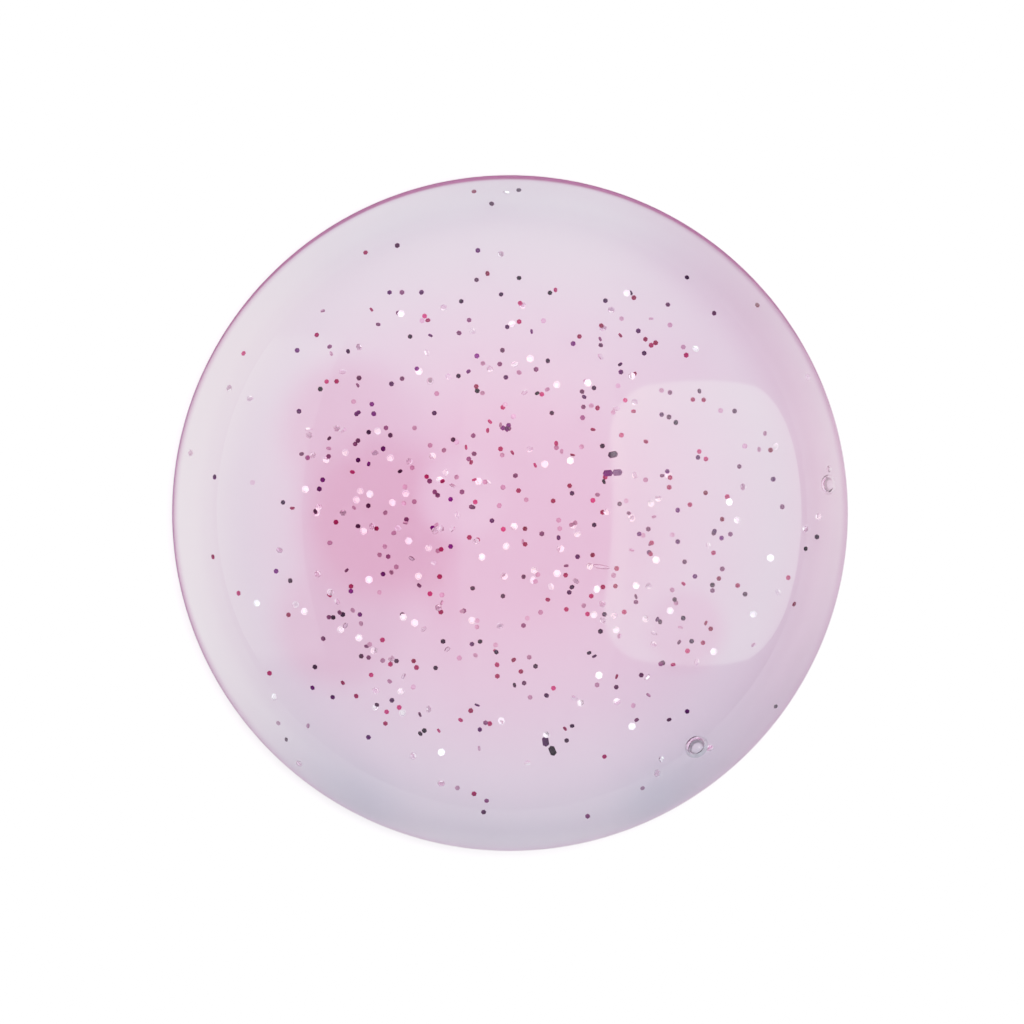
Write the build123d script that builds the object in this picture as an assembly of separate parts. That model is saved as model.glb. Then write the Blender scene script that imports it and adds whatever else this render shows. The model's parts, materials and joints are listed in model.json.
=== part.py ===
"""A round dab of clear pink glitter gel: a low dome with a flat base, hexagonal film flakes hanging in it at
every depth, and a few trapped air bubbles.

Millimetres, +Z up. The origin is the centre of the flat base, and the crown of the dome is on +Z.
The gel closes round every flake, so it has a pocket of the flake's own shape. Each bubble is a hollow in it.
"""

import math
import os
import random

from build123d import *

# Dome.
DOME_RADIUS = 10.0  # at the widest ring
DOME_HEIGHT = 6.0  # base to crown
EDGE_HEIGHT = 0.5  # of the widest ring above the base
CROWN_RISE = DOME_HEIGHT - EDGE_HEIGHT
FOOT_RADIUS = 9.7  # where the gel meets the surface under it
QUARTER_PULL = 0.5523  # share of a half axis that makes a Bezier curve follow a quarter ellipse

# Flakes, cut from polyester film. Widths are across flats, and lengths from corner to corner.
WIDE = 0.18
NARROW = 0.13
FILM = 0.04  # thickness
LONG_FLAKE = 0.30  # length of an over-long flake as wide as the wide ones
FLAKE_ROOM = 0.32  # least distance between the centres of two flakes
SKIN = 0.3  # least distance of a flake's centre from the gel's surface
LEAST_FACING = 0.25  # cosine of the steepest tilt from level

# Each film's flake width, and how many flakes of it each layer has. The layers are equal shares of the gel's depth.
LAYERS = ("bottom", "lower", "upper", "top")
FILMS = {
    "silver": (WIDE, 40),
    "magenta": (NARROW, 32),
    "violet": (NARROW, 25),
    "smoke": (NARROW, 29),
    "blush": (NARROW, 26),
}
SEED = 41

# Flakes are even in the middle and thinner outside this share of the radius.
CROWD_SHARE = 0.68
EDGE_CROWD = 0.32
# Silver flakes gather within this distance of one spot, as (x, y).
SILVER_SPOT = (-5.0, -1.3)
SILVER_REACH = 4.3
SILVER_ELSEWHERE = 0.5

# Over-long flakes, as (x, y, z, turn about Z, lean) in mm and degrees.
INDIGO_FLAKES = [(0.98, -6.28, 1.60, 98, 18), (1.17, -6.53, 1.50, 112, 24)]
PLUM_FLAKES = [(2.92, 1.66, 4.20, 12, 15)]
LINKED_FLAKE = (2.91, 1.14, 4.20, 4, 12)  # two flakes that the cutter left joined
LINK_SHARE = 0.9  # distance between the two centres, as a share of their length

# Bubbles, as (x, y, z, radius).
BUBBLES = [(5.27, -6.61, 1.9, 0.34), (9.00, 0.80, 1.3, 0.285), (9.10, 1.25, 1.5, 0.10)]
# A thin drawn-out bubble.
STREAK_PLACE = (2.57, -1.51, 3.6)
STREAK_LENGTH = 0.50
STREAK_RADIUS = 0.07
STREAK_TURN = -8


class Places:
    """The room inside the gel, and what already fills it."""

    def __init__(self):
        self.random = random.Random(SEED)
        self.taken = []

    def take(self, centre, room):
        self.taken.append((centre, room))

    def is_free(self, centre):
        return all(math.dist(centre, other) > (FLAKE_ROOM + room) / 2 for other, room in self.taken)

    def free_place(self, film, layer):
        """A random free place for one flake of this film in this layer."""
        while True:
            x, y = (self.random.uniform(-DOME_RADIUS, DOME_RADIUS) for _ in range(2))
            depth = gel_depth(math.hypot(x, y))
            z = depth * (layer + self.random.random()) / len(LAYERS)
            in_gel = SKIN < z < depth - 2 * SKIN and math.hypot(x, y) < DOME_RADIUS - 2 * SKIN
            # Where the gel is thinner, fewer flakes lie under one another.
            chance = crowd(x, y, film) * depth / DOME_HEIGHT
            if in_gel and self.random.random() < chance and self.is_free((x, y, z)):
                self.take((x, y, z), FLAKE_ROOM)
                return x, y, z

    def facing(self):
        """A random plane for a flake: most lie near level, and a few stand on edge."""
        rise = 1 - (1 - LEAST_FACING) * self.random.random() ** 3
        turn, spin = (self.random.uniform(0, 2 * math.pi) for _ in range(2))
        side = math.sqrt(1 - rise**2)
        normal = Vector(side * math.cos(turn), side * math.sin(turn), rise)
        along = Vector(math.cos(spin), math.sin(spin), 0).cross(normal)
        return along, normal


def gel_depth(radius):
    """Height of the dome's surface above the base at this radius."""
    share = min(1.0, radius / DOME_RADIUS)
    return EDGE_HEIGHT + CROWN_RISE * math.sqrt(1 - share**2)


def crowd(x, y, film):
    """The chance, from 0 to 1, that gel at (x, y) keeps a flake of this film."""
    chance = 1.0 if math.hypot(x, y) < CROWD_SHARE * DOME_RADIUS else EDGE_CROWD
    if film == "silver" and math.dist((x, y), SILVER_SPOT) > SILVER_REACH:
        chance *= SILVER_ELSEWHERE
    return chance


def dome():
    """The outer form: a quarter ellipse from the widest ring to the crown, and below it a curve in to the foot."""
    widest, crown = (DOME_RADIUS, EDGE_HEIGHT), (0, DOME_HEIGHT)
    above_widest = (DOME_RADIUS, EDGE_HEIGHT + QUARTER_PULL * CROWN_RISE)
    beside_crown = (QUARTER_PULL * DOME_RADIUS, DOME_HEIGHT)
    upper = Bezier(widest, above_widest, beside_crown, crown)
    lower = Bezier((FOOT_RADIUS, 0), (DOME_RADIUS, EDGE_HEIGHT / 3), widest)
    base = Line((0, 0), (FOOT_RADIUS, 0))
    axis = Line(crown, (0, 0))
    profile = make_face([base, lower, upper, axis])
    return revolve(Plane.XZ * profile, Axis.Z)


def hexagon(width, length=None):
    """A hexagon of this width across flats. It is regular, unless it has a length from corner to corner."""
    half = width / 2
    length = length or 2 * width / math.sqrt(3)
    tip = half / math.sqrt(3)
    right = [(length / 2 - tip, -half), (length / 2, 0), (length / 2 - tip, half)]
    left = [(-x, -y) for x, y in right]
    return make_face(Polyline(*right, *left, close=True))


def film_piece(face):
    return extrude(face, FILM / 2, both=True)


def linked_face():
    """Two over-long hexagons that share a corner."""
    step = LONG_FLAKE * LINK_SHARE / 2
    return Pos(-step, 0) * hexagon(WIDE, LONG_FLAKE) + Pos(step, 0) * hexagon(WIDE, LONG_FLAKE)


def leaning(piece, x, y, z, turn, lean, places):
    """The piece at (x, y, z), turned about Z and leaning about its own length."""
    places.take((x, y, z), 3 * LONG_FLAKE)
    return Location((x, y, z), (0, 0, turn)) * Location((0, 0, 0), (lean, 0, 0)) * piece


def flake_group(film, layer, places):
    """One layer's flakes of one film, each a separate solid."""
    width, count = FILMS[film]
    flake = film_piece(hexagon(width))
    pieces = []
    for _ in range(count):
        centre = places.free_place(film, layer)
        along, normal = places.facing()
        pieces.append(Plane(origin=centre, x_dir=along, z_dir=normal).location * flake)
    return pieces


def streak():
    """A thin spindle of air along Z."""
    tip = STREAK_LENGTH / 2
    # A cubic Bezier curve reaches three quarters of the way to its middle two points.
    pull = STREAK_RADIUS * 4 / 3
    side = Bezier((0, -tip), (pull, -tip), (pull, tip), (0, tip))
    profile = make_face([side, Line((0, tip), (0, -tip))])
    return revolve(Plane.XZ * profile, Axis.Z)


def hollows(places):
    """The hollows that trapped air leaves in the gel."""
    pieces = []
    for x, y, z, radius in BUBBLES:
        places.take((x, y, z), 2 * radius + FLAKE_ROOM)
        pieces.append(Pos(x, y, z) * Sphere(radius))
    places.take(STREAK_PLACE, STREAK_LENGTH + FLAKE_ROOM)
    pieces.append(Location(STREAK_PLACE, (0, 90, STREAK_TURN)) * streak())
    return pieces


def main():
    places = Places()
    air = hollows(places)
    long = film_piece(hexagon(WIDE, LONG_FLAKE))
    linked = film_piece(linked_face())
    nodes = {
        "indigo_long_flakes": [leaning(long, *place, places) for place in INDIGO_FLAKES],
        "plum_long_flake": [leaning(long, *place, places) for place in PLUM_FLAKES],
        "linked_flake": [leaning(linked, *LINKED_FLAKE, places)],
    }
    for layer, layer_name in enumerate(LAYERS):
        for film in FILMS:
            nodes[f"{film}_flakes_{layer_name}"] = flake_group(film, layer, places)
    flakes = [piece for pieces in nodes.values() for piece in pieces]
    nodes["gel_dome"] = [dome() - air - flakes]

    os.makedirs("parts", exist_ok=True)
    for name, pieces in nodes.items():
        solids = [solid for piece in pieces for solid in piece.solids()]
        export_step(Compound(children=solids), f"parts/{name}.step")
        print(name, len(solids), "solids", round(sum(solid.volume for solid in solids), 5), "mm3")


main()
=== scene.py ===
"""A dab of clear pink glitter gel on a white table, seen from straight above. Blender 4.5, metres."""
import bpy
import bmesh
import json
import math
import random
from mathutils import Matrix, Vector


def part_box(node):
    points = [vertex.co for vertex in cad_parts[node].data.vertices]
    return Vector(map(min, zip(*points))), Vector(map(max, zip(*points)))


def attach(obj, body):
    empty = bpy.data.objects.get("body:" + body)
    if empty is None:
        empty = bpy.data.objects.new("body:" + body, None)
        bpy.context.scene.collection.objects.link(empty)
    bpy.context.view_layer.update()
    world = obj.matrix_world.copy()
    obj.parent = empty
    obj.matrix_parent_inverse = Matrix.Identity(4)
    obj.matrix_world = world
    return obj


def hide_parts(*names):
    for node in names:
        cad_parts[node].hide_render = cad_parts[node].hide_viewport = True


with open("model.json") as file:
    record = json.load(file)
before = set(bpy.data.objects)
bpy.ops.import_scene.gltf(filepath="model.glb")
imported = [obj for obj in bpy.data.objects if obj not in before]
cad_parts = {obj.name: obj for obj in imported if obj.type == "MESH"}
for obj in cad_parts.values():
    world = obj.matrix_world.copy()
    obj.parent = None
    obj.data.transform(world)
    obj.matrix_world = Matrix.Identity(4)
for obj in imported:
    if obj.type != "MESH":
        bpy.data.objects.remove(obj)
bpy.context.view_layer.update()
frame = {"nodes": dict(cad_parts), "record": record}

MM = 0.001

# Stage.
TABLE_HEIGHT = 0.01 * MM  # a hair above the gel's base, which wets the table
TABLE_REACH = 1.2
CAMERA_HEIGHT = 0.25
CLIP_START = CAMERA_HEIGHT / 20
SENSOR_WIDTH = 36
DAB_SHARE = 0.66  # of the picture's width that the dab fills
CAMERA_SHIFT = (0.002, 0.001)
TONE_POINTS = [(0.6, 0.6), (0.8, 0.735), (1.05, 0.83)]
TONE_WHITE = 1.4  # scene brightness that shows as pure white

# The gel, as the CAD has it.
GEL_LOW, GEL_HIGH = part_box("gel_dome")
RADIUS = (GEL_HIGH.x - GEL_LOW.x) / 2
CROWN = GEL_HIGH.z
EDGE_HEIGHT = 0.5 * MM
FOOT_RADIUS = 9.7 * MM
DOME_STEPS = 96
DOME_SEGMENTS = 256
BUBBLES = [((5.27, -6.61, 1.9), 0.34), ((9.00, 0.80, 1.3), 0.285), ((9.10, 1.25, 1.5), 0.10)]
STREAK_PLACE = (2.57, -1.51, 3.6)
STREAK_LENGTH = 0.50
STREAK_RADIUS = 0.07
STREAK_TURN = -8
RING_RISE = 0.6  # a bubble's wall has a painted highlight ring where its normal rises less than this
WALL_SLOT = 1  # the mesh's material slots after the gel's own
RING_SLOT = 2

# The flakes' film.
FILM = 0.04 * MM
PRESSED = 0.006 * MM  # depth of the flat that the cutter presses into both faces
PRESSED_SHARE = 0.66  # how far out it reaches
RIM_SHARE = 0.78  # where the rim round it begins
CURL = 0.012 * MM
WELD = 0.001 * MM
FLAT_LIMIT = 1  # degrees between triangles that belong to one flat face
SIDE_CORNERS = 4  # of a flake's narrow side faces, while its broad ones have more
RANDOM = random.Random(5)

# Optics.
GEL_IOR = 1.42
FILM_IOR = 1.16  # polyester's, as a multiple of the gel's
DEPTH_TINT = (0.95, 0.78, 0.88, 1)
DEPTH_TINT_DENSITY = 100.0

# Fine unevenness of a material, as a noise scale and (level, shade) stops. The scale is per metre, but the
# table's is across its whole width.
WALL_GRAIN = (2000.0, (0.3, (0.97, 0.95, 0.97)), (0.7, (1, 1, 1)))
# The ring's shades are a painted highlight.
RING_HIGHLIGHT_GRAIN = (8000.0, (0.3, (0.80, 0.74, 0.78)), (0.7, (1, 1, 1)))
TABLE_GRAIN = (60.0, (0.0, (0.88, 0.88, 0.885)), (1.0, (0.92, 0.92, 0.92)))

# The painted shade arc in a bubble's ring lies on this side, and its edge is where the wall faces it this
# squarely.
ARC_SIDE = (-0.64, 0.77, 0)
ARC_EDGE = (0.68, 0.80)
ARC_PAINTED_SHADE = (0.06, 0.02, 0.04)

# The film's coat varies a flake's level by up to half of COAT_SHIFT either way, at this scale per metre.
COAT_SCALE = 12000.0
COAT_SHIFT = 0.5
DARKEST_LEVEL = 0.1  # at which a flake has its film's darkest shade
LIGHTEST_LEVEL = 0.9

# Places and distances on the dome, from here on, are shares of its radius along X and Y.
BACK = (0, 1, 0)
RIGHT = (1, 0.1, 0)

# The gel's surface tint: partly its own pink, and partly painted light and shade, darker towards the front
# and round the rim. The front's and the back's stops run along the radius, and the right's run from the very
# front, 0, to the very back, 1.
FRONT_SHADED_TINT = [(0.3, (0.76, 0.44, 0.56)), (0.6, (0.66, 0.54, 0.65)), (0.78, (0.60, 0.61, 0.69))]
BACK_LIT_TINT = [(0.3, (0.87, 0.51, 0.64)), (0.6, (0.79, 0.61, 0.75)), (0.78, (0.78, 0.75, 0.85))]
# The rim's colours below are painted light and shade, not the gel's own colour.
RIGHT_RIM_LIGHT_AND_SHADE = [(0.2, (0.46, 0.42, 0.52)), (0.55, (0.74, 0.56, 0.66)), (0.9, (0.50, 0.46, 0.56))]
BACK_RIM_PAINTED_LIGHT = (0.72, 0.89, 0.91)
RIM_PAINTED_SHADE = (0.28, 0.42, 0.48)
RIM_PAINTED_LIGHT = (1, 1, 1)

# Where one tint or painted light and shade turns into the next, on the way to the back, to the right or
# outwards.
FRONT_TO_BACK = (-0.1, 0.6)
BODY_TO_RIM = (0.76, 0.94)
RIM_TO_BACK = (0.45, 0.9)
RIM_TO_RIGHT = (0.3, 0.8)

# The painted shade line along the rim, which is strong towards one side, and the darker one that widens
# towards the back.
RIM_LINE_SHADE = (0.5, 0.25, 0.5)
LINE_EDGE = (0.988, 0.996)
LINE_SIDE = (-0.3, 0.5, 0)
LINE_RISE = (-0.35, 0.3)
BACK_LINE_SHADE = (0.38, 0.09, 0.24)
BACK_LINE_EDGE = (1.0, 1.008)
BACK_LINE_WIDTH = 0.021

# Painted patches: deeper pink where shade is painted and paler pink where a reflection is painted, as
# (centre, reach, tint).
PAINTED_LIGHT_PATCHES = [
    ((-0.46, 0.24), 0.27, (0.68, 0.43, 0.55)),
    ((-0.50, -0.32), 0.24, (0.60, 0.42, 0.53)),
    ((-0.38, -0.02), 0.30, (0.60, 0.31, 0.43)),
    ((-0.14, 0.05), 0.16, (0.86, 0.54, 0.67)),
    ((0.51, -0.34), 0.15, (0.60, 0.41, 0.53)),
]

# Light near the rim: an even part, what the very back has more and the very front less, a spot in front,
# and the two sides.
EVEN_LIGHT = 0.37
BACK_LIGHT = 0.31
FRONT_LIGHT = 0.26
FRONT_LIGHT_PLACE = (0, -1)
FRONT_LIGHT_REACH = 0.5
SIDE_LIGHTS = [((-1, 0.15, 0), 0.75), (RIGHT, 0.35)]

# The table as the gel's steep edge mirrors it, with painted shadow and light round the gel that only its
# mirror images show. Each pair is for none and for full side light or line strength.
MIRRORED_LINE = ((0.42, 0.30, 0.40), (0.22, 0.08, 0.17))
MIRRORED_CLOSE = ((0.15, 0.10, 0.15), (1.0, 0.97, 1.0))
MIRRORED_FAR = ((0.34, 0.31, 0.34), (0.50, 0.50, 0.50))
LINE_TO_CLOSE = (1.05, 1.15)
CLOSE_TO_FAR = (1.4, 3.0)

# Each film's darkest and lightest flakes, and how metallic and rough it is.
FILMS = {
    "silver_film": ((0.90, 0.90, 0.92), (1.0, 1.0, 1.0), 0.9, 0.2),
    "magenta_film": ((0.20, 0.008, 0.05), (0.48, 0.04, 0.16), 0.3, 0.3),
    "violet_film": ((0.010, 0.002, 0.012), (0.14, 0.010, 0.16), 0.3, 0.25),
    "smoke_film": ((0.035, 0.010, 0.035), (0.24, 0.09, 0.19), 0.3, 0.3),
    "blush_film": ((0.42, 0.25, 0.34), (0.70, 0.52, 0.62), 0.3, 0.3),
}

# Panels of light, all at one distance from the gel. Seen from above, the dome mirrors each between its sides
# and its ends. Then come its radiance, the shares of its half width and half length that its corners round
# off, and the share of those that fades out.
LIGHT_DISTANCE = 0.4
PANELS = {
    "right_softbox": ((0.29, 0.86), (-0.46, 0.40), 3.8, (0.45, 0.45), 0.12),
    "left_softbox": ((-0.82, -0.52), (-0.45, 0.55), 1.4, (0.12, 0.5), 0.35),
    "back_softbox": ((-0.6, 0.6), (0.08, 0.87), 1.6, (0.8, 0.65), 1.0),
    "top_softbox": ((-0.18, 0.36), (-0.6, 0.5), 1.0, (0.1, 0.7), 1.0),
    "front_softbox": ((-0.6, 0.5), (-0.86, -0.1), 1.2, (0.8, 0.8), 1.0),
}

# The room round them.
ROOM = 3.2
DIM_SIDE = 0.6  # share of the room's light on the photographer's side
WINDOW_SIDE = (-0.45, 0.89, 0)
DIM_TO_BRIGHT = (-0.9, 0.2)  # how far a wall lies towards the window
MIRRORED_ROOM = 0.2  # share of the room's light that the gel's outer face mirrors
LENS_PLACE = (-0.38, 0.02)  # where the dome mirrors the dark lens
LENS_EDGE = (9, 22)  # degrees from its middle to where its dark begins to fade and ends


# ---------------------------------------------------------------- meshes

def new_object(name, bm, smooth=True):
    """A new object of this mesh, in the scene."""
    mesh = bpy.data.meshes.new(name)
    bm.to_mesh(mesh)
    bm.free()
    for polygon in mesh.polygons:
        polygon.use_smooth = smooth
    piece = bpy.data.objects.new(name, mesh)
    bpy.context.scene.collection.objects.link(piece)
    return piece


def dome_profile(steps):
    """(radius, height) points from the foot, round the widest ring, to the crown."""
    foot_steps = steps // 4
    points = []
    for i in range(foot_steps):
        t = i / foot_steps
        points.append((
            FOOT_RADIUS * (1 - t) ** 2 + RADIUS * (1 - (1 - t) ** 2),
            EDGE_HEIGHT * (2 / 3 * t * (1 - t) + t**2),
        ))
    for i in range(steps + 1):
        angle = math.pi / 2 * i / steps
        points.append((RADIUS * math.cos(angle), EDGE_HEIGHT + (CROWN - EDGE_HEIGHT) * math.sin(angle)))
    return points


def join_rings(bm, rings):
    """Faces between each ring of corners and the next."""
    for lower, upper in zip(rings, rings[1:]):
        for k in range(len(lower)):
            j = (k + 1) % len(lower)
            bm.faces.new((lower[k], lower[j], upper[j], upper[k]))


def close_ring(bm, ring, tip):
    """A fan of faces from a ring to its tip."""
    for k in range(len(ring)):
        bm.faces.new((ring[k], ring[(k + 1) % len(ring)], tip))


def add_lathe(bm, profile, segments):
    """Rings of the profile about Z. A flat face closes the first ring, and the last point is the crown."""
    rings = []
    for radius, height in profile[:-1]:
        turns = [2 * math.pi * k / segments for k in range(segments)]
        rings.append([bm.verts.new((radius * math.cos(a), radius * math.sin(a), height)) for a in turns])
    join_rings(bm, rings)
    close_ring(bm, rings[-1], bm.verts.new((0, 0, profile[-1][1])))
    bm.faces.new(list(reversed(rings[0])))


def add_hollow(bm, matrix):
    """A bubble's wall: a unit ball put through matrix, facing inwards. Its steep part is the ring with the
    painted highlight.
    """
    made = bmesh.ops.create_icosphere(bm, subdivisions=5, radius=1, matrix=matrix)
    faces = {face for vert in made["verts"] for face in vert.link_faces}
    for face in faces:
        face.normal_update()
        face.material_index = RING_SLOT if abs(face.normal.z) < RING_RISE else WALL_SLOT
    bmesh.ops.reverse_faces(bm, faces=list(faces))


def gel():
    """The dome and its bubbles."""
    bm = bmesh.new()
    add_lathe(bm, dome_profile(DOME_STEPS), DOME_SEGMENTS)
    for place, radius in BUBBLES:
        add_hollow(bm, Matrix.Translation(Vector(place) * MM) @ Matrix.Scale(radius * MM, 4))
    half = STREAK_LENGTH / 2
    stretch = Matrix.Diagonal((half * MM, STREAK_RADIUS * MM, STREAK_RADIUS * MM, 1))
    turn = Matrix.Rotation(math.radians(STREAK_TURN), 4, "Z")
    add_hollow(bm, Matrix.Translation(Vector(STREAK_PLACE) * MM) @ turn @ stretch)
    return new_object("gel", bm)


def upper_faces(cad_node):
    """The corners and the normal of the upper broad face of each flake in a CAD node."""
    bm = bmesh.new()
    bm.from_mesh(cad_node.data)
    bmesh.ops.remove_doubles(bm, verts=bm.verts, dist=WELD)
    bmesh.ops.dissolve_limit(bm, angle_limit=math.radians(FLAT_LIMIT), verts=bm.verts, edges=bm.edges)
    broad = [face for face in bm.faces if len(face.verts) > SIDE_CORNERS and face.normal.z > 0]
    found = [([vert.co.copy() for vert in face.verts], face.normal.copy()) for face in broad]
    bm.free()
    return found


def add_flake(bm, corners, normal):
    """One flake of cut film: a flat pressed into both faces, a rim round it, and a slight curl."""
    corners = [corner - normal * FILM / 2 for corner in corners]
    middle = sum(corners, Vector()) / len(corners)
    half = (corners[0] - middle).length
    line = normal.cross(corners[0] - middle).normalized()
    line.rotate(Matrix.Rotation(RANDOM.uniform(0, math.pi), 3, normal))
    curl = RANDOM.uniform(-CURL, CURL)

    def point(corner, share, height):
        flat = (corner - middle) * share
        return bm.verts.new(middle + flat + normal * (height + curl * (flat.dot(line) / half) ** 2))

    low = FILM / 2 - PRESSED
    side = [(PRESSED_SHARE, low), (RIM_SHARE, FILM / 2), (1, FILM / 2)]
    profile = [(share, -height) for share, height in side] + list(reversed(side))
    rings = [[point(corner, share, height) for corner in corners] for share, height in profile]
    join_rings(bm, rings)
    close_ring(bm, rings[-1], point(middle, 0, low))
    close_ring(bm, list(reversed(rings[0])), point(middle, 0, -low))


def flakes(cad_node):
    """All the flakes of a CAD node."""
    bm = bmesh.new()
    for corners, normal in upper_faces(cad_node):
        add_flake(bm, corners, normal)
    return new_object(f"{cad_node.name}_film", bm, smooth=False)


# ---------------------------------------------------------------- material nodes

def material(name):
    """A new material, its node tree and its shader."""
    made = bpy.data.materials.new(name)
    made.use_nodes = True
    tree = made.node_tree
    tree.nodes.clear()
    out = tree.nodes.new("ShaderNodeOutputMaterial")
    shader = tree.nodes.new("ShaderNodeBsdfPrincipled")
    tree.links.new(shader.outputs["BSDF"], out.inputs["Surface"])
    return made, tree, shader


def plug(tree, value, socket):
    """Sets a socket to a number or a tuple, or links another node's output to it. None leaves it alone."""
    if isinstance(value, bpy.types.NodeSocket):
        tree.links.new(value, socket)
    elif value is not None:
        socket.default_value = value


def node(tree, kind, operation=None, values=()):
    """A new node with its operation and the values of its first inputs."""
    made = tree.nodes.new(kind)
    if operation:
        made.operation = operation
    for value, socket in zip(values, made.inputs):
        plug(tree, value, socket)
    return made


def maths(tree, operation, *values):
    """Maths on numbers."""
    return node(tree, "ShaderNodeMath", operation, values).outputs[0]


def vector(tree, operation, *values):
    """Vector maths whose result is a vector."""
    return node(tree, "ShaderNodeVectorMath", operation, values).outputs["Vector"]


def measure(tree, operation, *values):
    """Vector maths whose result is a number."""
    return node(tree, "ShaderNodeVectorMath", operation, values).outputs["Value"]


def noise(tree, place, scale):
    """A soft noise from 0 to 1."""
    return node(tree, "ShaderNodeTexNoise", values=(place, None, scale)).outputs["Fac"]


def grained(tree, place, scale, *stops):
    """Shades that change with a fine noise."""
    return ramp(tree, noise(tree, place, scale), *stops)


def object_place(tree):
    """Where a point is, in metres from the origin."""
    return tree.nodes.new("ShaderNodeTexCoord").outputs["Object"]


def shares(tree):
    """Where a point is, as shares of the dome's radius along X and Y."""
    return vector(tree, "MULTIPLY", object_place(tree), (1 / RADIUS, 1 / RADIUS, 0))


def rise(tree, value, low, high):
    """A smooth rise from 0 where value is low to 1 where it is high."""
    made = node(tree, "ShaderNodeMapRange", values=(value, low, high))
    made.interpolation_type = "SMOOTHSTEP"
    return made.outputs[0]


def near(tree, place, centre, reach):
    """A smooth rise from 0 at this reach from a centre to 1 at half of it."""
    return rise(tree, measure(tree, "DISTANCE", place, (*centre, 0)), reach, reach / 2)


def mix(tree, share, first, second):
    """Two colours mixed, with this share of the second."""
    made = tree.nodes.new("ShaderNodeMix")
    made.data_type = "RGBA"
    sockets = {socket.identifier: socket for socket in made.inputs}
    plug(tree, share, sockets["Factor_Float"])
    for name, colour in (("A_Color", first), ("B_Color", second)):
        plug(tree, (*colour, 1) if isinstance(colour, tuple) else colour, sockets[name])
    return next(socket for socket in made.outputs if socket.identifier == "Result_Color")


def ramp(tree, value, *stops):
    """A colour ramp with (position, colour) stops."""
    made = node(tree, "ShaderNodeValToRGB", values=(value,))
    elements = made.color_ramp.elements
    elements.remove(elements[1])
    for i, (position, colour) in enumerate(stops):
        element = elements[0] if i == 0 else elements.new(position)
        element.position = position
        element.color = (*colour, 1)
    return made.outputs["Color"]


def side_light(tree, place):
    """How much light reaches a point near the rim: most on the left, least towards the front."""
    spot = maths(tree, "MULTIPLY", near(tree, place, FRONT_LIGHT_PLACE, FRONT_LIGHT_REACH), FRONT_LIGHT)
    total = maths(tree, "MULTIPLY_ADD", measure(tree, "DOT_PRODUCT", place, BACK), BACK_LIGHT, EVEN_LIGHT)
    total = maths(tree, "ADD", total, spot)
    for direction, weight in SIDE_LIGHTS:
        lit = maths(tree, "MAXIMUM", measure(tree, "DOT_PRODUCT", place, direction), 0.0)
        total = maths(tree, "MULTIPLY_ADD", maths(tree, "MULTIPLY", lit, lit), weight, total)
    return total


def line_strength(tree, place):
    """How strongly the rim shows its painted shade line: fully at the back and on the left, not at all in
    front.
    """
    return rise(tree, measure(tree, "DOT_PRODUCT", place, LINE_SIDE), *LINE_RISE)


# ---------------------------------------------------------------- materials

def body_tint_and_shade(tree, place, radius, back):
    """The gel's tint over the middle, partly its pink and partly painted shade that darkens it towards the
    front and the rim, with patches of painted light and shade.
    """
    front, rear = (ramp(tree, radius, *stops) for stops in (FRONT_SHADED_TINT, BACK_LIT_TINT))
    body = mix(tree, rise(tree, back, *FRONT_TO_BACK), front, rear)
    for centre, reach, tint in PAINTED_LIGHT_PATCHES:
        body = mix(tree, near(tree, place, centre, reach), body, tint)
    return body


def rim_light_and_shade(tree, place, back):
    """Painted light and shade near the rim: shaded grey in front, lit on the left and behind, pinker on the
    right.
    """
    rim = mix(tree, side_light(tree, place), RIM_PAINTED_SHADE, RIM_PAINTED_LIGHT)
    rim = mix(tree, rise(tree, back, *RIM_TO_BACK), rim, BACK_RIM_PAINTED_LIGHT)
    right = ramp(tree, maths(tree, "MULTIPLY_ADD", back, 0.5, 0.5), *RIGHT_RIM_LIGHT_AND_SHADE)
    return mix(tree, rise(tree, measure(tree, "DOT_PRODUCT", place, RIGHT), *RIM_TO_RIGHT), rim, right)


def lined(tree, place, radius, back, colour):
    """The gel's tint with a painted shade line along the rim, and a darker and wider one round the back."""
    line = mix(tree, line_strength(tree, place), colour, RIM_LINE_SHADE)
    colour = mix(tree, rise(tree, radius, *LINE_EDGE), colour, line)
    widened = maths(tree, "MULTIPLY_ADD", back, BACK_LINE_WIDTH, radius)
    return mix(tree, rise(tree, widened, *BACK_LINE_EDGE), colour, BACK_LINE_SHADE)


def make_clear(shader):
    """Clear gel with a wet surface."""
    shader.inputs["Roughness"].default_value = 0.0
    shader.inputs["IOR"].default_value = GEL_IOR
    shader.inputs["Transmission Weight"].default_value = 1.0


def gel_material():
    """Clear gel, tinted in its depth and on its surface, where the tint also holds painted light and shade.
    """
    made, tree, shader = material("gel")
    place = shares(tree)
    radius = measure(tree, "LENGTH", place)
    back = measure(tree, "DOT_PRODUCT", place, BACK)
    body = body_tint_and_shade(tree, place, radius, back)
    colour = mix(tree, rise(tree, radius, *BODY_TO_RIM), body, rim_light_and_shade(tree, place, back))
    tree.links.new(lined(tree, place, radius, back, colour), shader.inputs["Base Color"])
    make_clear(shader)
    depth = tree.nodes.new("ShaderNodeVolumeAbsorption")
    depth.inputs["Color"].default_value = DEPTH_TINT
    depth.inputs["Density"].default_value = DEPTH_TINT_DENSITY
    tree.links.new(depth.outputs["Volume"], tree.nodes["Material Output"].inputs["Volume"])
    return made


def bubble_material():
    """The gel's wall round trapped air, which has no tint of its own."""
    made, tree, shader = material("bubble_wall")
    tree.links.new(grained(tree, object_place(tree), *WALL_GRAIN), shader.inputs["Base Color"])
    make_clear(shader)
    return made


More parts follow.
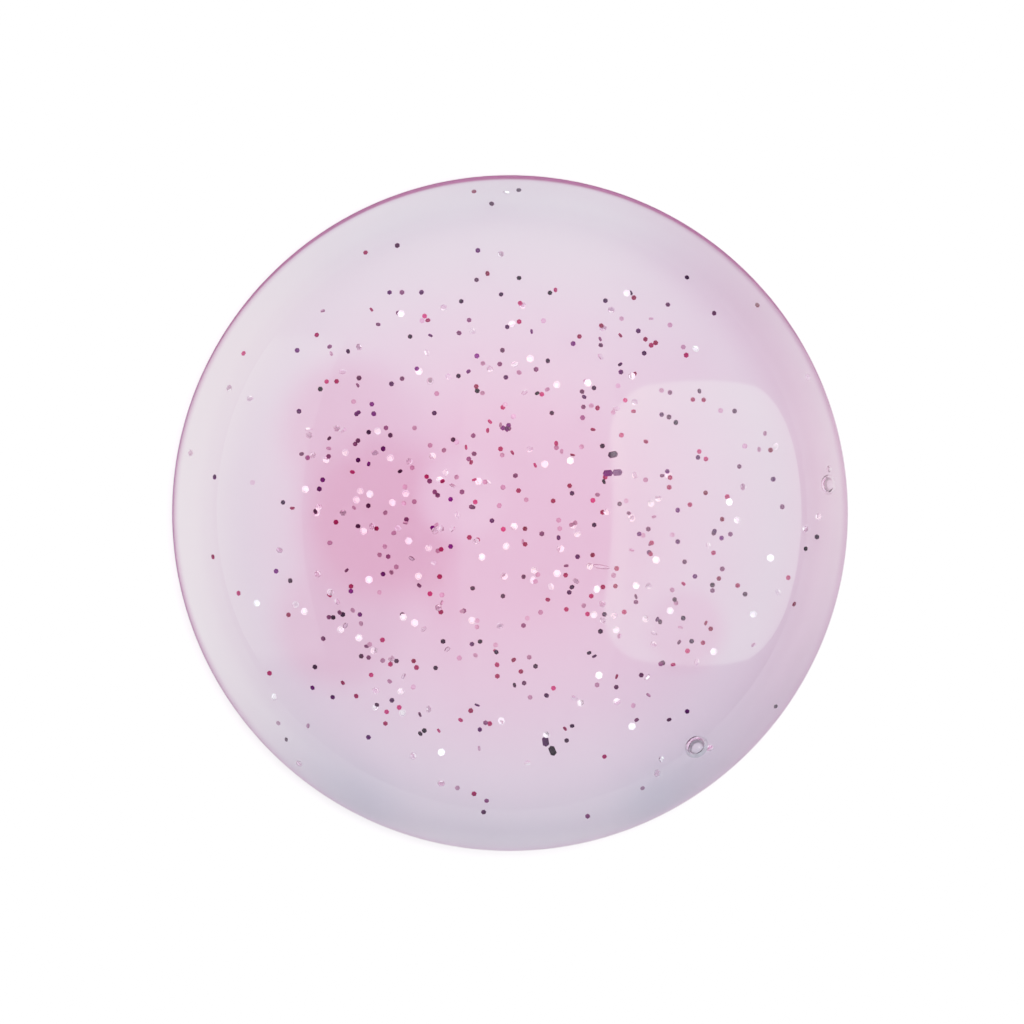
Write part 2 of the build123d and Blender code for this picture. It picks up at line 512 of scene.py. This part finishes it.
def ring_highlight_material():
    """The painted highlight ring in a bubble's wall, with a painted shade arc at the back left."""
    made, tree, shader = material("bubble_ring_highlight")
    bright = grained(tree, object_place(tree), *RING_HIGHLIGHT_GRAIN)
    normal = tree.nodes.new("ShaderNodeNewGeometry").outputs["Normal"]
    arc = rise(tree, measure(tree, "DOT_PRODUCT", normal, ARC_SIDE), *ARC_EDGE)
    tree.links.new(mix(tree, arc, bright, ARC_PAINTED_SHADE), shader.inputs["Base Color"])
    shader.inputs["Roughness"].default_value = 0.4
    shader.inputs["IOR"].default_value = FILM_IOR
    return made


def film_material(name, darkest, lightest, metallic, roughness):
    """Coated film, each flake in its own shade, with a finely uneven coat."""
    made, tree, shader = material(name)
    own = tree.nodes.new("ShaderNodeNewGeometry").outputs["Random Per Island"]
    coat = noise(tree, object_place(tree), COAT_SCALE)
    level = maths(tree, "ADD", own, maths(tree, "MULTIPLY_ADD", coat, COAT_SHIFT, -COAT_SHIFT / 2))
    shade = ramp(tree, level, (DARKEST_LEVEL, darkest), (LIGHTEST_LEVEL, lightest))
    tree.links.new(shade, shader.inputs["Base Color"])
    shader.inputs["Metallic"].default_value = metallic
    shader.inputs["Roughness"].default_value = roughness
    shader.inputs["IOR"].default_value = FILM_IOR
    return made


def painted_table_reflection(tree, place, radius):
    """Painted shadow and light on the table as the gel's steep edge mirrors it, outwards from the rim: line,
    close and far.
    """
    sides = side_light(tree, place)
    close, far = (mix(tree, sides, *tints) for tints in (MIRRORED_CLOSE, MIRRORED_FAR))
    lit = mix(tree, rise(tree, radius, *CLOSE_TO_FAR), close, far)
    line = mix(tree, line_strength(tree, place), *MIRRORED_LINE)
    return mix(tree, rise(tree, radius, *LINE_TO_CLOSE), line, lit)


def table_material():
    """Matt white, except in mirror images of the part that the gel doesn't cover, which show painted shadow
    and light.
    """
    made, tree, shader = material("table")
    white = grained(tree, None, *TABLE_GRAIN)
    place = shares(tree)
    radius = measure(tree, "LENGTH", place)
    # Mirror rays beside the gel see the painted shadow and light.
    mirrored_ray = tree.nodes.new("ShaderNodeLightPath").outputs["Is Glossy Ray"]
    beside = maths(tree, "GREATER_THAN", radius, FOOT_RADIUS / RADIUS)
    painted_mirror_mask = maths(tree, "MULTIPLY", mirrored_ray, beside)
    colour = mix(tree, painted_mirror_mask, white, painted_table_reflection(tree, place, radius))
    tree.links.new(colour, shader.inputs["Base Color"])
    shader.inputs["Roughness"].default_value = 0.6
    return made


# ---------------------------------------------------------------- stage

def table():
    """The wide white table that the gel lies on."""
    bm = bmesh.new()
    lift = Matrix.Translation((0, 0, TABLE_HEIGHT))
    bmesh.ops.create_grid(bm, x_segments=8, y_segments=8, size=TABLE_REACH, matrix=lift)
    top = new_object("table", bm)
    top.data.materials.append(table_material())


def mirrored(u, v):
    """The direction that the dome at (u, v) mirrors when it is seen from above."""
    slope = (CROWN - EDGE_HEIGHT) / RADIUS / math.sqrt(1 - u * u - v * v)
    normal = Vector((slope * u, slope * v, 1)).normalized()
    return 2 * normal.z * normal - Vector((0, 0, 1))


def glow(light, rounding, softness):
    """The panel fades over its edges. It shows in the gel and the flakes, and doesn't light the table."""
    light.use_nodes = True
    tree = light.node_tree
    emission = next(found for found in tree.nodes if found.type == "EMISSION")
    place = tree.nodes.new("ShaderNodeNewGeometry").outputs["Parametric"]
    from_middle = vector(tree, "ABSOLUTE", vector(tree, "MULTIPLY_ADD", place, (2, 2, 0), (-1, -1, 0)))
    flat = [1 - share for share in rounding]
    past = vector(tree, "MAXIMUM", vector(tree, "SUBTRACT", from_middle, (*flat, 0)), (0, 0, 0))
    past = vector(tree, "DIVIDE", past, (*rounding, 1))
    fade = rise(tree, measure(tree, "LENGTH", past), 1.0, 1.0 - softness)
    diffuse_depth = tree.nodes.new("ShaderNodeLightPath").outputs["Diffuse Depth"]
    no_table = maths(tree, "LESS_THAN", diffuse_depth, 0.5)
    tree.links.new(maths(tree, "MULTIPLY", fade, no_table), emission.inputs["Strength"])


def softbox(name, sides, ends, radiance, rounding, softness):
    """A panel of light round the gel, placed by where the dome mirrors it."""
    middle = (sum(sides) / 2, sum(ends) / 2)
    left, right = (mirrored(u, middle[1]) for u in sides)
    front, back = (mirrored(middle[0], v) for v in ends)
    away = (left + right + front + back).normalized()
    left, right, front, back = (ray / ray.dot(away) * LIGHT_DISTANCE for ray in (left, right, front, back))
    across = (right - left).normalized()
    light = bpy.data.lights.new(name, "AREA")
    light.shape = "RECTANGLE"
    light.size = (right - left).length
    light.size_y = (back - front).length
    light.energy = radiance * math.pi * light.size * light.size_y
    glow(light, rounding, softness)
    lamp = bpy.data.objects.new(name, light)
    lamp.matrix_world = Matrix((across, away.cross(across), away)).transposed().to_4x4()
    lamp.location = away * LIGHT_DISTANCE
    lamp.visible_camera = False
    bpy.context.scene.collection.objects.link(lamp)


def room_light(tree):
    """The room's even light, dimmer on the photographer's side and dark at the lens."""
    seen = tree.nodes.new("ShaderNodeTexCoord").outputs["Generated"]
    window = measure(tree, "DOT_PRODUCT", seen, WINDOW_SIDE)
    limits = (*DIM_TO_BRIGHT, DIM_SIDE * ROOM, ROOM)
    walls = node(tree, "ShaderNodeMapRange", values=(window, *limits)).outputs[0]
    lens = measure(tree, "DOT_PRODUCT", seen, mirrored(*LENS_PLACE))
    beside_lens = rise(tree, lens, *(math.cos(math.radians(edge)) for edge in LENS_EDGE))
    return maths(tree, "MULTIPLY", walls, beside_lens)


def room():
    """A white room. The gel's outer face mirrors it dimmed, so that the flakes under it stay clear."""
    world = bpy.data.worlds.new("room")
    world.use_nodes = True
    tree = world.node_tree
    tree.nodes.clear()
    out = tree.nodes.new("ShaderNodeOutputWorld")
    background = tree.nodes.new("ShaderNodeBackground")
    path = tree.nodes.new("ShaderNodeLightPath")
    outside = maths(tree, "LESS_THAN", path.outputs["Transmission Depth"], 0.5)
    sheen = maths(tree, "MULTIPLY", path.outputs["Is Glossy Ray"], outside)
    dimmed = maths(tree, "MULTIPLY_ADD", sheen, MIRRORED_ROOM - 1, 1.0)
    tree.links.new(maths(tree, "MULTIPLY", room_light(tree), dimmed), background.inputs["Strength"])
    tree.links.new(background.outputs["Background"], out.inputs["Surface"])
    bpy.context.scene.world = world


def tone():
    """The camera's response: even up to a light grey, then a shoulder up to white."""
    settings = bpy.context.scene.view_settings
    settings.view_transform = "Standard"
    settings.use_curve_mapping = True
    mapping = settings.curve_mapping
    mapping.clip_max_x = 2
    mapping.extend = "HORIZONTAL"
    for channel in mapping.curves[:3]:
        channel.points[1].location = (TONE_WHITE, 1.0)
        for point in TONE_POINTS:
            channel.points.new(*point)
    mapping.update()


def camera():
    """Straight above, with the dab in the middle of the picture but for a hair."""
    data = bpy.data.cameras.new("camera")
    data.sensor_width = SENSOR_WIDTH
    data.lens = SENSOR_WIDTH * (CAMERA_HEIGHT - EDGE_HEIGHT) * DAB_SHARE / (2 * RADIUS)
    data.shift_x, data.shift_y = CAMERA_SHIFT
    data.clip_start = CLIP_START
    seer = bpy.data.objects.new("camera", data)
    seer.location = (0, 0, CAMERA_HEIGHT)
    bpy.context.scene.collection.objects.link(seer)
    bpy.context.scene.camera = seer


# ---------------------------------------------------------------- the scene

def main():
    """The gel with its bubbles, the film in every CAD node, and the stage."""
    dab = gel()
    for made in (gel_material(), bubble_material(), ring_highlight_material()):
        dab.data.materials.append(made)
    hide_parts("gel_dome")
    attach(dab, "root")

    films = {name: film_material(name, *look) for name, look in FILMS.items()}
    slots = {part["node"]: part["material_slot"] for part in frame["record"]["subparts"]}
    for name, cad_node in sorted(frame["nodes"].items()):
        if name != "gel_dome":
            group = flakes(cad_node)
            group.data.materials.append(films[slots[name]])
            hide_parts(name)
            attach(group, "root")

    table()
    for name, panel in PANELS.items():
        softbox(name, *panel)
    room()
    camera()
    tone()


main()
